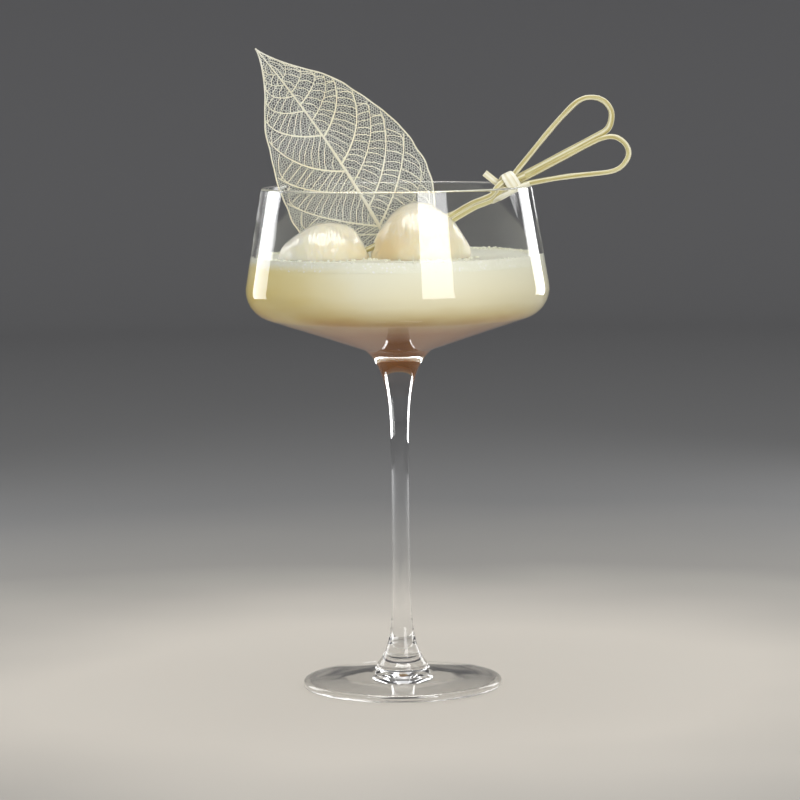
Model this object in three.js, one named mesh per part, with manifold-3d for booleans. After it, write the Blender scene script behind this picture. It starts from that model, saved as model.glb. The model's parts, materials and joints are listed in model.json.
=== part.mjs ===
// A stemmed cocktail glass, served: a creamy drink, two lychees on a looped bamboo pick, a skeleton leaf.
// Millimetres, +Z up. The origin is on the glass axis at the underside of the foot, and -Y is the front.
import * as THREE from "three";
import { mergeVertices } from "three/addons/utils/BufferGeometryUtils.js";
import Module from "manifold-3d";

const wasm = await Module();
wasm.setup();

// Glass
const GLASS_HEIGHT = 166;
const RIM_RADIUS = 44.5;
const RIM_WALL = 1.1;
const BOWL_RADIUS = 50;
const BELLY_DROP = 33.7; // rim down to the centre of the rounded belly
const BELLY_ROUND = 10;
const BELLY_WALL = 1.6;
const CONE_DROP = 53.6; // rim down to where the cone leaves the stem flare
const CONE_START = 12;
const CONE_EASE = 0.6; // how far the flare's bend lies below the start of the cone
const HOLLOW_DROP = 53; // rim down to the lowest point inside
const HOLLOW_FLAT = 6; // radius of the dished floor inside
const HOLLOW_DISH = 0.9; // how far that floor rises to its edge
const WELD_DROP = 57; // rim down to the weld of bowl and stem
const UPPER_WELD_RADIUS = 8.3;
const LOWER_WELD_RADIUS = 8.3;
const STEM_WAIST = 2.95;
const UPPER_FLARE = 7.6; // length over which the stem swells into each weld
const LOWER_FLARE = 6.5;
const FOOT_RADIUS = 33;
const FOOT_EDGE = 2.6;
const FOOT_ROUND = 1.1;
const FOOT_CROWN = 5.9; // height of the foot's top where its collar starts
const FOOT_SAG = 0.2; // how far the foot's top dips below a straight cone
const COLLAR_HEIGHT = 7.5;

// Drink
const FILL_DROP = 23.2; // rim down to the surface of the drink
const FROTH_DEPTH = 2.6;
const FILM = 0.1; // between the drink and the glass

// Fruit
const LEFT_RADIUS = 14.6;
const RIGHT_RADIUS = 16.4;
const FRUIT_SETBACK = -8.5; // fruit and pick stand this far to the front of the axis
const LEFT_FRUIT_X = -23.6;
const LEFT_FRUIT_SINK = 2.8; // centre of the left fruit below the surface
const FRUIT_TOUCH = 0.4; // gap between the fruits
const FRUIT_CLIMB = THREE.MathUtils.degToRad(7.1); // from the left fruit up to the right one
const STONE_SHARE = 0.42; // hollow left by the stone, as a share of the fruit's radius
const STEM_END = THREE.MathUtils.degToRad(68); // the hollow is open below this angle

// Pick
const KNOT_INSET = 3.3; // knot centre inside the rim's inner edge
const KNOT_SINK = 1.05; // underside of the knot below the rim, on the inside
const SHAFT_RADIUS = 1;
const TIP_LENGTH = 8;
const TIP_DEPTH = 6.5; // depth of the tip in the left fruit
const STRIP_WIDTH = 2.2;
const STRIP_THICK = 1.1;
const UPPER_LOOP_ROUND = 6.8;
const UPPER_LOOP_REACH = 31.3; // knot centre to the centre of the loop's round end
const LOWER_LOOP_ROUND = 5.4;
const LOWER_LOOP_REACH = 32.1;
const STRIP_TAIL = 26; // bound end of each strip, from the knot down beside the shaft
const KNOT_BAND = 2;
const KNOT_THICK = 0.5;
const KNOT_TURNS = 2;
const KNOT_PITCH = 2.7;
const KNOT_UPPER_TAIL = 7;
const KNOT_LOWER_TAIL = 2.6;

// Leaf
const LEAF_LEAN = 46.1; // leaf base to its tip, to the left
const LEAF_RISE = 71.1; // leaf base up to its tip
const LEAF_BEND = 5.2; // pull on the middle of the midrib, to the right
const LEAF_RIM_GAP = 3; // between the leaf's left side and the rim
const LEAF_HALF_WIDTH = 24;
const LEAF_SINK = 2.3; // leaf base below the surface
const LEAF_BOW = 2; // how far the sides of the leaf bend back
const MIDRIB_WIDTH = 1.7;
const MIDRIB_THICK = 1.1;
const SIDE_VEIN_WIDTH = 0.7;
const SIDE_VEIN_THICK = 0.7;
const CROSS_VEIN_WIDTH = 0.45;
const CROSS_VEIN_THICK = 0.4;
const MARGIN_WIDTH = 0.6;
const MARGIN_THICK = 0.55;
const SIDE_VEIN_PAIRS = 11;
const CROSS_VEINS = 5; // between two side veins
const SIDE_VEIN_SWEEP = 0.3; // how far a side vein climbs, as a share of the leaf above it
const FIRST_SIDE_VEIN = 0.04; // where the side veins start and end, as shares of the midrib
const LAST_SIDE_VEIN = 0.8;
const BLADE_SWELL = 0.36; // how fast the blade widens from its base
const BLADE_FALL = 1.45; // how fast it narrows to its tip

const CLEAR = 0.3; // between pieces that move past each other
const ROUND_SIDES = 48;
const SLIM_SIDES = 24;

// Heights and places that follow from the sizes above
const RIM_CENTRE = GLASS_HEIGHT - RIM_WALL / 2;
const BELLY = new THREE.Vector2(BOWL_RADIUS - BELLY_ROUND, GLASS_HEIGHT - BELLY_DROP);
const UPPER_WELD = GLASS_HEIGHT - WELD_DROP;
const SURFACE = GLASS_HEIGHT - FILL_DROP;
const LEFT_FRUIT = new THREE.Vector3(LEFT_FRUIT_X, FRUIT_SETBACK, SURFACE - LEFT_FRUIT_SINK);
const FRUIT_STEP = LEFT_RADIUS + RIGHT_RADIUS + FRUIT_TOUCH;
const RIGHT_FRUIT = new THREE.Vector3(
  LEFT_FRUIT.x + FRUIT_STEP * Math.cos(FRUIT_CLIMB),
  FRUIT_SETBACK,
  LEFT_FRUIT.z + FRUIT_STEP * Math.sin(FRUIT_CLIMB),
);
const STRIP_IN_HANDLE = CLEAR / 2 + STRIP_THICK / 2;
const CORE = Math.max(SHAFT_RADIUS, STRIP_IN_HANDLE + STRIP_THICK / 2);
const STRIP_BESIDE_SHAFT = CORE + CLEAR + STRIP_THICK / 2;
const BUNDLE_HEIGHT = STRIP_BESIDE_SHAFT + STRIP_THICK / 2;
const BUNDLE_RADIUS = Math.hypot(BUNDLE_HEIGHT, STRIP_WIDTH / 2);
const KNOT_CORNER = Math.sqrt(Math.SQRT1_2); // how far the squared turns reach into the bundle's corners
const KNOT_HALF_HEIGHT = BUNDLE_HEIGHT / KNOT_CORNER + CLEAR + KNOT_THICK / 2;
const KNOT_HALF_DEPTH = STRIP_WIDTH / 2 / KNOT_CORNER + CLEAR + KNOT_THICK / 2;
const RIM_INSIDE = Math.sqrt((RIM_RADIUS - RIM_WALL) ** 2 - FRUIT_SETBACK ** 2);
const KNOT = new THREE.Vector3(
  RIM_INSIDE - KNOT_INSET,
  FRUIT_SETBACK,
  GLASS_HEIGHT - KNOT_SINK + KNOT_HALF_HEIGHT + KNOT_THICK / 2,
);
const PICK_TILT = Math.atan2(KNOT.z - LEFT_FRUIT.z, KNOT.x - LEFT_FRUIT.x);
const LEFT_SKIN = LEFT_RADIUS - KNOT.distanceTo(LEFT_FRUIT); // along the pick from the knot
const SHAFT_END = (KNOT_TURNS * KNOT_PITCH) / 2;
const LEAF_PLANE = FRUIT_SETBACK + RIGHT_RADIUS + FRUIT_TOUCH + MIDRIB_THICK / 2;
const LEAF_BASE = SURFACE - LEAF_SINK;

// Pick frame: origin at the knot, X along the pick to the loops, Z across it, Y as in the glass.
const PICK_FRAME = new THREE.Matrix4().makeRotationY(-PICK_TILT).setPosition(KNOT);

// A closed solid from a geometry, without points that coincide.
function solidFrom(geometry) {
  const bare = new THREE.BufferGeometry();
  bare.setAttribute("position", geometry.getAttribute("position"));
  bare.setIndex(geometry.getIndex());
  const merged = mergeVertices(bare, 1e-4);
  const index = merged.getIndex().array;
  const faces = [];
  for (let i = 0; i < index.length; i += 3) {
    const [a, b, c] = [index[i], index[i + 1], index[i + 2]];
    if (a !== b && b !== c && c !== a) faces.push(a, b, c);
  }
  const vertProperties = new Float32Array(merged.getAttribute("position").array);
  const triVerts = new Uint32Array(faces);
  return new wasm.Manifold(new wasm.Mesh({ numProp: 3, vertProperties, triVerts }));
}

function geometryOf(solid) {
  const { vertProperties, triVerts } = solid.getMesh();
  const geometry = new THREE.BufferGeometry();
  geometry.setAttribute("position", new THREE.Float32BufferAttribute(vertProperties, 3));
  geometry.setIndex(Array.from(triVerts));
  return geometry;
}

// A body turned about Z from a profile of (radius, height) points.
function turned(profile, sides) {
  return new THREE.LatheGeometry(profile, sides).rotateX(Math.PI / 2);
}

// A body turned about the pick from a profile of (radius, distance from the knot) points.
function turnedOnPick(profile, sides) {
  return new THREE.LatheGeometry(profile, sides).rotateZ(-Math.PI / 2).applyMatrix4(PICK_FRAME);
}

function profileOf(...pairs) {
  return pairs.map(([radius, along]) => new THREE.Vector2(radius, along));
}

// A flat strip through stations that each give its middle, its half thickness and its half width.
function strip(stations) {
  const positions = [];
  const index = [];
  const corners = [[1, 1], [1, -1], [-1, -1], [-1, 1]];
  for (const { middle, out, side } of stations) {
    for (const [o, s] of corners) {
      const corner = middle.clone().addScaledVector(out, o).addScaledVector(side, s);
      positions.push(corner.x, corner.y, corner.z);
    }
  }
  const last = 4 * (stations.length - 1);
  for (let ring = 0; ring < last; ring += 4) {
    for (let k = 0; k < 4; k += 1) {
      const a = ring + k;
      const b = ring + ((k + 1) % 4);
      index.push(a, b, b + 4, a, b + 4, a + 4);
    }
  }
  index.push(0, 2, 1, 0, 3, 2);
  index.push(last, last + 1, last + 2, last, last + 2, last + 3);
  const geometry = new THREE.BufferGeometry();
  geometry.setAttribute("position", new THREE.Float32BufferAttribute(positions, 3));
  geometry.setIndex(index);
  return geometry;
}

// Stations of a strip along points of the XZ plane; its half size in the plane can change on the way.
function flatStations(points, halfInPlane, halfAlongY) {
  return points.map((point, i) => {
    const ahead = points[Math.min(i + 1, points.length - 1)];
    const behind = points[Math.max(i - 1, 0)];
    const along = ahead.clone().sub(behind).normalize();
    return {
      middle: new THREE.Vector3(point.x, 0, point.y),
      out: new THREE.Vector3(-along.y, 0, along.x).multiplyScalar(halfInPlane(i)),
      side: new THREE.Vector3(0, halfAlongY, 0),
    };
  });
}

// Angle, seen from a circle's centre, of the point where a line from outside touches the circle.
function touchAngle(from, centre, radius, turn) {
  const away = from.clone().sub(centre);
  return away.angle() + turn * Math.acos(radius / away.length());
}

// Half of the hollow's outline: from its lowest point, up the cone, round the belly, up the wall to a height.
function hollowOutline(inset, top) {
  const round = BELLY_ROUND - BELLY_WALL - inset;
  const lowest = GLASS_HEIGHT - HOLLOW_DROP + inset;
  const cone = new THREE.Vector2(HOLLOW_FLAT, lowest + HOLLOW_DISH);
  const rim = new THREE.Vector2(RIM_RADIUS - RIM_WALL - inset, RIM_CENTRE);
  const start = touchAngle(cone, BELLY, round, 1);
  const end = touchAngle(rim, BELLY, round, -1);
  const outline = new THREE.Path();
  outline.moveTo(0, lowest);
  outline.quadraticCurveTo(HOLLOW_FLAT / 2, lowest, cone.x, cone.y);
  outline.absarc(BELLY.x, BELLY.y, round, start, end + 2 * Math.PI, false);
  const wall = outline.currentPoint.clone();
  const share = (top - wall.y) / (rim.y - wall.y);
  outline.lineTo(wall.x + share * (rim.x - wall.x), top);
  return outline.getPoints(3);
}

function makeBowl() {
  const cone = new THREE.Vector2(CONE_START, GLASS_HEIGHT - CONE_DROP);
  const rim = new THREE.Vector2(RIM_RADIUS, RIM_CENTRE);
  const start = touchAngle(cone, BELLY, BELLY_ROUND, 1);
  const end = touchAngle(rim, BELLY, BELLY_ROUND, -1);
  const outer = new THREE.Path();
  outer.moveTo(0, UPPER_WELD);
  outer.lineTo(UPPER_WELD_RADIUS, UPPER_WELD);
  outer.quadraticCurveTo((UPPER_WELD_RADIUS + CONE_START) / 2, cone.y - CONE_EASE, cone.x, cone.y);
  outer.absarc(BELLY.x, BELLY.y, BELLY_ROUND, start, end + 2 * Math.PI, false);
  outer.absarc(RIM_RADIUS - RIM_WALL / 2, RIM_CENTRE, RIM_WALL / 2, 0, Math.PI, false);
  const inner = hollowOutline(0, RIM_CENTRE).reverse();
  return turned([...outer.getPoints(3), ...inner.slice(1)], ROUND_SIDES);
}

function makeStem() {
  const steps = 22;
  const profile = profileOf([0, COLLAR_HEIGHT]);
  for (let i = 0; i <= steps; i += 1) {
    const share = 0.5 - 0.5 * Math.cos((Math.PI * i) / steps);
    const z = THREE.MathUtils.lerp(COLLAR_HEIGHT, UPPER_WELD, share);
    const upper = (UPPER_WELD_RADIUS - STEM_WAIST) * Math.exp((z - UPPER_WELD) / UPPER_FLARE);
    const lower = (LOWER_WELD_RADIUS - STEM_WAIST) * Math.exp((COLLAR_HEIGHT - z) / LOWER_FLARE);
    profile.push(new THREE.Vector2(STEM_WAIST + upper + lower, z));
  }
  profile.push(new THREE.Vector2(0, UPPER_WELD));
  return turned(profile, SLIM_SIDES);
}

function makeFoot() {
  const edge = FOOT_RADIUS - FOOT_ROUND;
  const collar = LOWER_WELD_RADIUS + COLLAR_HEIGHT - FOOT_CROWN;
  const outline = new THREE.Path();
  outline.moveTo(0, 0);
  outline.lineTo(edge, 0);
  outline.absarc(edge, FOOT_ROUND, FOOT_ROUND, -Math.PI / 2, 0, false);
  outline.absarc(edge, FOOT_EDGE - FOOT_ROUND, FOOT_ROUND, 0, Math.PI / 2, false);
  outline.quadraticCurveTo((edge + collar) / 2, (FOOT_EDGE + FOOT_CROWN) / 2 - FOOT_SAG, collar, FOOT_CROWN);
  outline.quadraticCurveTo(LOWER_WELD_RADIUS, FOOT_CROWN, LOWER_WELD_RADIUS, COLLAR_HEIGHT);
  outline.lineTo(0, COLLAR_HEIGHT);
  return turned(outline.getPoints(2), ROUND_SIDES);
}

// A peeled fruit: a ball with the hollow of its stone, open at the stem end.
function makeFruit(centre, radius) {
  const outline = new THREE.Path();
  outline.absarc(0, 0, radius, -STEM_END, Math.PI / 2, false);
  outline.lineTo(0, radius * STONE_SHARE);
  outline.absarc(0, 0, radius * STONE_SHARE, Math.PI / 2, -STEM_END, true);
  outline.closePath();
  return turned(outline.getPoints(5), SLIM_SIDES).translate(centre.x, centre.y, centre.z);
}

// The room that a fruit takes up in the drink.
function fruitRoom(centre, radius) {
  const room = new THREE.SphereGeometry(radius + CLEAR, SLIM_SIDES, 16).rotateX(Math.PI / 2);
  return solidFrom(room.translate(centre.x, centre.y, centre.z));
}

function boreOnPick(radius, from, to) {
  return solidFrom(turnedOnPick(profileOf([0, from], [radius, from], [radius, to], [0, to]), 16));
}

function makeShaft() {
  const tip = LEFT_SKIN - TIP_DEPTH;
  const full = [SHAFT_RADIUS, tip + TIP_LENGTH];
  return turnedOnPick(profileOf([0, tip], full, [SHAFT_RADIUS, SHAFT_END], [0, SHAFT_END]), 12);
}

// A loop of the handle: out beside the other loop, round the end, back to the knot, down beside the shaft.
function makeLoop(side, round, reach) {
  const centre = new THREE.Vector2(reach, STRIP_IN_HANDLE + round);
  const bound = new THREE.Vector2(SHAFT_END + KNOT_BAND / 2, STRIP_BESIDE_SHAFT);
  const leave = touchAngle(bound, centre, round, -1);
  const route = new THREE.Path();
  route.moveTo(SHAFT_END + CLEAR, STRIP_IN_HANDLE);
  route.lineTo(reach, STRIP_IN_HANDLE);
  route.absarc(centre.x, centre.y, round, -Math.PI / 2, leave, false);
  route.lineTo(bound.x, bound.y);
  route.lineTo(-STRIP_TAIL, STRIP_BESIDE_SHAFT);
  const points = route.getPoints(8).map((point) => new THREE.Vector2(point.x, side * point.y));
  const stations = flatStations(points, () => STRIP_THICK / 2, STRIP_WIDTH / 2);
  return strip(stations).applyMatrix4(PICK_FRAME);
}

// Stations of the band: a straight tail, turns round the bundle of strips, and a second tail.
function knotStations() {
  const steps = 20 * KNOT_TURNS;
  const squared = (value) => Math.sign(value) * Math.sqrt(Math.abs(value));
  const middles = [new THREE.Vector3(-SHAFT_END, -KNOT_HALF_DEPTH, KNOT_UPPER_TAIL)];
  for (let i = 0; i <= steps; i += 1) {
    const turn = (2 * Math.PI * KNOT_TURNS * i) / steps;
    const along = KNOT_TURNS * KNOT_PITCH * (i / steps - 0.5);
    const front = KNOT_HALF_DEPTH * squared(Math.cos(turn));
    const under = KNOT_HALF_HEIGHT * squared(Math.sin(turn));
    middles.push(new THREE.Vector3(along, -front, -under));
  }
  middles.push(new THREE.Vector3(SHAFT_END, -KNOT_HALF_DEPTH, -KNOT_LOWER_TAIL));
  return middles.map((middle, i) => {
    const ahead = middles[Math.min(i + 1, middles.length - 1)];
    const behind = middles[Math.max(i - 1, 0)];
    const side = new THREE.Vector3(KNOT_BAND / 2, 0, 0);
    const out = ahead.clone().sub(behind).cross(side).setLength(KNOT_THICK / 2);
    return { middle, out, side };
  });
}

// The least gap between the band's edges, over stations more than half a turn apart.
function leastGap(stations, apart) {
  let gap = Infinity;
  const edges = stations.map(({ middle, side }) => [middle.clone().sub(side), middle.clone().add(side)]);
  for (let i = 0; i < edges.length; i += 1) {
    for (let j = i + apart; j < edges.length; j += 1) {
      for (const a of edges[i]) {
        for (const b of edges[j]) gap = Math.min(gap, a.distanceTo(b));
      }
    }
  }
  return gap;
}

function makeKnot() {
  const stations = knotStations();
  const gap = leastGap(stations, 11);
  console.log(`pick_knot: least gap to itself ${gap.toFixed(2)} mm`);
  return strip(stations).applyMatrix4(PICK_FRAME);
}

// Half width of the leaf blade at a share of the way from base to tip.
function bladeWidth(share) {
  const form = (at) => at ** BLADE_SWELL * (1 - at * at) ** BLADE_FALL;
  const widest = Math.sqrt(BLADE_SWELL / (BLADE_SWELL + 2 * BLADE_FALL));
  return (LEAF_HALF_WIDTH * form(share)) / form(widest);
}

// The midrib of the flat leaf, from its base at X = 0.
const TO_TIP = new THREE.Vector2(-LEAF_LEAN, LEAF_RISE);
const PULL = new THREE.Vector2(TO_TIP.y, -TO_TIP.x).setLength(LEAF_BEND);
const MIDRIB = new THREE.QuadraticBezierCurve(
  new THREE.Vector2(0, LEAF_BASE),
  new THREE.Vector2(0, LEAF_BASE).addScaledVector(TO_TIP, 0.5).add(PULL),
  new THREE.Vector2(0, LEAF_BASE).add(TO_TIP),
);

// A point of the flat leaf: a share of the way up the midrib and a distance to the right of it.
function leafPoint(share, across) {
  const along = MIDRIB.getTangent(share);
  return MIDRIB.getPoint(share).add(new THREE.Vector2(along.y, -along.x).multiplyScalar(across));
}

function marginPoint(at, side) {
  const share = at ** 1.8;
  return leafPoint(share, side * bladeWidth(share));
}

// A point on the side vein that leaves the midrib at a share and arches toward the tip.
function sideVeinPoint(from, side, at) {
  const share = from + (1 - from) * SIDE_VEIN_SWEEP * at ** 1.3;
  return leafPoint(share, side * at * bladeWidth(share));
}

function spread(count, place) {
  return Array.from({ length: count }, (_, i) => place(i / (count - 1)));
}

function vein(points, width, endWidth, thick) {
  const half = (i) => THREE.MathUtils.lerp(width, endWidth, i / (points.length - 1)) / 2;
  return solidFrom(strip(flatStations(points, half, thick / 2)));
}

// Where the leaf's base stands, so that its left side clears the rim.
function leafBaseX() {
  const rim = Math.sqrt((RIM_RADIUS - RIM_WALL) ** 2 - (LEAF_PLANE + LEAF_BOW) ** 2);
  const below = spread(200, (at) => marginPoint(at, -1)).filter((point) => point.y < GLASS_HEIGHT);
  return LEAF_RIM_GAP - rim - Math.min(...below.map((point) => point.x));
}

// The leaf stands behind the fruit, and its sides bend back.
function standLeaf(solid) {
  const geometry = geometryOf(solid);
  const position = geometry.getAttribute("position");
  for (let i = 0; i < position.count; i += 1) {
    const across = (position.getX(i) + LEAF_LEAN / 2) / (2 * LEAF_HALF_WIDTH);
    position.setY(i, position.getY(i) + LEAF_PLANE + LEAF_BOW * across * across);
  }
  return geometry.translate(leafBaseX(), 0, 0);
}

function makeLeaf() {
  const start = (pair) => THREE.MathUtils.lerp(FIRST_SIDE_VEIN, LAST_SIDE_VEIN, pair / (SIDE_VEIN_PAIRS - 1));
  let leaf = vein(spread(13, (at) => leafPoint(at, 0)), MIDRIB_WIDTH, MARGIN_WIDTH, MIDRIB_THICK);
  for (const side of [-1, 1]) {
    const margin = spread(25, (at) => marginPoint(at, side));
    leaf = leaf.add(vein(margin, MARGIN_WIDTH, MARGIN_WIDTH, MARGIN_THICK));
    for (let pair = 0; pair < SIDE_VEIN_PAIRS; pair += 1) {
      const points = spread(6, (at) => sideVeinPoint(start(pair), side, at));
      leaf = leaf.add(vein(points, SIDE_VEIN_WIDTH, CROSS_VEIN_WIDTH, SIDE_VEIN_THICK));
      if (pair === 0) continue;
      for (let k = 1; k <= CROSS_VEINS; k += 1) {
        const at = k / (CROSS_VEINS + 1);
        const below = sideVeinPoint(start(pair - 1), side, at + 0.06);
        const above = sideVeinPoint(start(pair), side, at - 0.06);
        leaf = leaf.add(vein([below, above], CROSS_VEIN_WIDTH, CROSS_VEIN_WIDTH, CROSS_VEIN_THICK));
      }
    }
  }
  return standLeaf(leaf);
}

// The room that the leaf's foot takes up in the drink.
function leafRoom() {
  const grow = MIDRIB_WIDTH / 2 + CLEAR;
  const lower = MIDRIB.getTangent(0).multiplyScalar(-grow);
  const grown = (at, side) => {
    const share = at ** 1.8;
    return leafPoint(share, side * (bladeWidth(share) + grow)).add(lower);
  };
  const outline = new THREE.Shape();
  outline.setFromPoints([
    ...spread(12, (at) => grown(at * 0.7, 1)),
    ...spread(12, (at) => grown((1 - at) * 0.7, -1)),
  ]);
  const depth = MIDRIB_THICK + LEAF_BOW + 2 * CLEAR;
  const room = new THREE.ExtrudeGeometry(outline, { depth, bevelEnabled: false }).rotateX(Math.PI / 2);
  return solidFrom(room.translate(leafBaseX(), LEAF_PLANE - MIDRIB_THICK / 2 - CLEAR + depth, 0));
}

function makeDrink() {
  const top = SURFACE - FROTH_DEPTH;
  return turned([...hollowOutline(FILM, top), new THREE.Vector2(0, top)], ROUND_SIDES);
}

function makeFroth() {
  const lower = hollowOutline(FILM, SURFACE - FROTH_DEPTH).at(-1);
  const upper = hollowOutline(FILM, SURFACE).at(-1);
  return turned([new THREE.Vector2(0, lower.y), lower, upper, new THREE.Vector2(0, upper.y)], ROUND_SIDES);
}

const GLASS = { color: 0xdfe8ea, roughness: 0.05, transparent: true, opacity: 0.35 };
const DRINK = { color: 0xe9e3c4, roughness: 0.35 };
const FROTH = { color: 0xf3f1e2, roughness: 0.6 };
const FRUIT = { color: 0xe8dfc4, roughness: 0.3 };
const BAMBOO = { color: 0xd2cf98, roughness: 0.55 };
const BAND = { color: 0xe9e4c6, roughness: 0.6 };
const LEAF = { color: 0xf0e6cc, roughness: 0.8 };

const model = new THREE.Group();

function place(name, shape, look) {
  const geometry = shape.isBufferGeometry ? shape : geometryOf(shape);
  const mesh = new THREE.Mesh(geometry, new THREE.MeshStandardMaterial(look));
  mesh.name = name;
  model.add(mesh);
}

const rooms = fruitRoom(LEFT_FRUIT, LEFT_RADIUS).add(fruitRoom(RIGHT_FRUIT, RIGHT_RADIUS)).add(leafRoom());
const shaftBore = SHAFT_RADIUS + CLEAR;
const bundleBore = BUNDLE_RADIUS + CLEAR;
const leftBore = boreOnPick(shaftBore, LEFT_SKIN - TIP_DEPTH - CLEAR, 0);
const rightBore = boreOnPick(bundleBore, LEFT_SKIN, 0);

place("foot", makeFoot(), GLASS);
place("stem", makeStem(), GLASS);
place("bowl", makeBowl(), GLASS);
place("drink", solidFrom(makeDrink()).subtract(rooms), DRINK);
place("froth", solidFrom(makeFroth()).subtract(rooms), FROTH);
place("lychee_left", solidFrom(makeFruit(LEFT_FRUIT, LEFT_RADIUS)).subtract(leftBore), FRUIT);
place("lychee_right", solidFrom(makeFruit(RIGHT_FRUIT, RIGHT_RADIUS)).subtract(rightBore), FRUIT);
place("pick_shaft", makeShaft(), BAMBOO);
place("pick_loop_upper", makeLoop(1, UPPER_LOOP_ROUND, UPPER_LOOP_REACH), BAMBOO);
place("pick_loop_lower", makeLoop(-1, LOWER_LOOP_ROUND, LOWER_LOOP_REACH), BAMBOO);
place("pick_knot", makeKnot(), BAND);
place("leaf", makeLeaf(), LEAF);

export default model;
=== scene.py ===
"""Looks of a served cocktail glass: glass, creamy drink, two lychees on a bamboo pick and a skeleton leaf.

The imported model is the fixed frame. Sizes here are in millimetres, +Z up, -Y to the front, as in that frame,
and MM turns them into metres.
"""

import json
import math
import random

import bmesh
import bpy
import numpy as np
from mathutils import Matrix, Vector, noise
from mathutils.geometry import delaunay_2d_cdt


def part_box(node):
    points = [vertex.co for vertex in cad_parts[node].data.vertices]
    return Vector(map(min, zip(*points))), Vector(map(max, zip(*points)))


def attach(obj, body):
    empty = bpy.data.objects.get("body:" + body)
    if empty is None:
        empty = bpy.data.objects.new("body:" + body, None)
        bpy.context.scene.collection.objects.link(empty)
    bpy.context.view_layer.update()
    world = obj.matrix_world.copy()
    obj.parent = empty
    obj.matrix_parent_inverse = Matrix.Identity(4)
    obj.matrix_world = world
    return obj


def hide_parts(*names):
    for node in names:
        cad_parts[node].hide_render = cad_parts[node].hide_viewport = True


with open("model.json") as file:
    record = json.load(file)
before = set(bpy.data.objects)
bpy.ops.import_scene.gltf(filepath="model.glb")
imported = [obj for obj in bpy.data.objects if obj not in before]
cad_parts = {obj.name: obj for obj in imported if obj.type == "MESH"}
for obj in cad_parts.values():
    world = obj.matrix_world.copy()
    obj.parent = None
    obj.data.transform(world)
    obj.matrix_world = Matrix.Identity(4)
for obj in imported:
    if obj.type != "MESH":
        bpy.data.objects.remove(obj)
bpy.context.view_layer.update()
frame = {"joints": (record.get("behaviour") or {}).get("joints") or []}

MM = 0.001


def box_mm(node):
    """Lowest and highest corner of a node of the frame, in millimetres."""
    low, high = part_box(node)
    return np.array(low) / MM, np.array(high) / MM


def fruit_ball(node):
    """Middle and radius of a fruit of the frame, from its width and its top."""
    low, high = box_mm(node)
    radius = (high[1] - low[1]) / 2
    return np.array([(low[0] + high[0]) / 2, (low[1] + high[1]) / 2, high[2] - radius]), radius


def rgb(red, green, blue):
    """A colour given in display values from 0 to 255, as the shaders take it."""
    def linear(value):
        share = value / 255
        return share / 12.92 if share <= 0.04045 else ((share + 0.055) / 1.055) ** 2.4
    return (linear(red), linear(green), linear(blue), 1.0)


# Camera
CAMERA_DISTANCE = 1129
CAMERA_ASIDE = 0.3
CAMERA_HEIGHT = 209.5
CAMERA_PITCH = math.radians(5.77)
CAMERA_ROLL = math.radians(-0.75)
CAMERA_LENS = 154.5
CAMERA_SENSOR = 36

# Soft boxes: degrees to the right of the front, distance, height of the middle, width, height, radiance
PANELS = {
    "panel_left": (-126, 600, 294, 250, 526, 4.2),
    "panel_front": (30, 800, 412, 345, 676, 6.2),
    "panel_right": (135, 650, 294, 230, 526, 4.4),
    "panel_top": (6, 130, 900, 820, 620, 10.0),
    "panel_fill": (-35, 1300, 450, 800, 700, 2.8),
}
TOP_LIGHT = 700  # panels above this height look down at the drink, the rest stand upright

# Stage
FLOOR_RADIUS = 1500
FLOOR_DROP = 0.3
COVE_RADIUS = 450
WALL_TOP = 2200
FADE_REACH = 2000
FADE_GRAIN = 20

# Glass
GLASS_HEIGHT = box_mm("bowl")[1][2]
UPPER_WELD = box_mm("stem")[1][2]
COLLAR_HEIGHT = box_mm("stem")[0][2]
FOOT_RADIUS = box_mm("foot")[1][0]
RIM_RADIUS = 44.5
RIM_WALL = 1.1
LIP_WALL = 1.5  # the fire-polished lip is a little fuller than the wall
BELLY_RADIUS = 40
BELLY_DROP = 33.7
BELLY_ROUND = 10
BELLY_WALL = 1.6
CONE_DROP = 53.6
CONE_START = 12
CONE_EASE = 0.6
HOLLOW_DROP = 53
HOLLOW_FLAT = 6
HOLLOW_DISH = 0.9
WELD_RADIUS = 8.3
STEM_WAIST = 2.95
UPPER_FLARE = 7.6
LOWER_FLARE = 6.5
FOOT_EDGE = 2.6
FOOT_ROUND = 1.1
FOOT_CROWN = 5.9
FOOT_SAG = 0.2
FOOT_HOLLOW = 2.7
FOOT_RING = 2.4  # how far in from the edge the foot stands on the table
GLASS_SIDES = 192
STEM_SIDES = 96
LATE_PATH = 4.5  # a path of light is let straight out of the glass past this many turns

# Drink
SURFACE = box_mm("froth")[1][2]
FROTH_FOOT = box_mm("froth")[0][2]
FROTH_THIN = 0.5  # it begins to show this far above its foot
FROTH_FULL = 0.2  # and hides the drink this far below the surface
WETTING = 0.15  # how far the drink reaches into the glass, to leave no air between
PAINTED_SHADE_LEVEL = 112  # the painted shade and painted warm reflection at the bottom of the drink are deepest at this height
MENISCUS_RISE = 0.7
MENISCUS_REACH = 2.2
MENISCUS_CURVE = 3
DRINK_SIDES = 160
MILKY = rgb(244, 243, 220)

# Bubbles along the glass and round the fruit; their sizes are radii
GLASS_BUBBLES = 520
GLASS_BUBBLE_SIZES = (0.2, 0.5)
GLASS_BUBBLE_SPREAD = 0.4
GLASS_BUBBLE_GAP = 0.1  # share of a bubble's size
FRUIT_BUBBLES = {"lychee_left": 40, "lychee_right": 110}
FRUIT_BUBBLE_SIZES = (0.16, 0.5)
FRUIT_BUBBLE_SPREAD = 1.6
FRUIT_BUBBLE_SINK = 0.6
BUBBLE_APART = 0.9  # how near two bubbles come, as a share of their sizes together
BUBBLE_RISE = 0.2  # how far the middle of a bubble stands above the surface, as a share of its size
BUBBLE_SEED = 5

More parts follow.
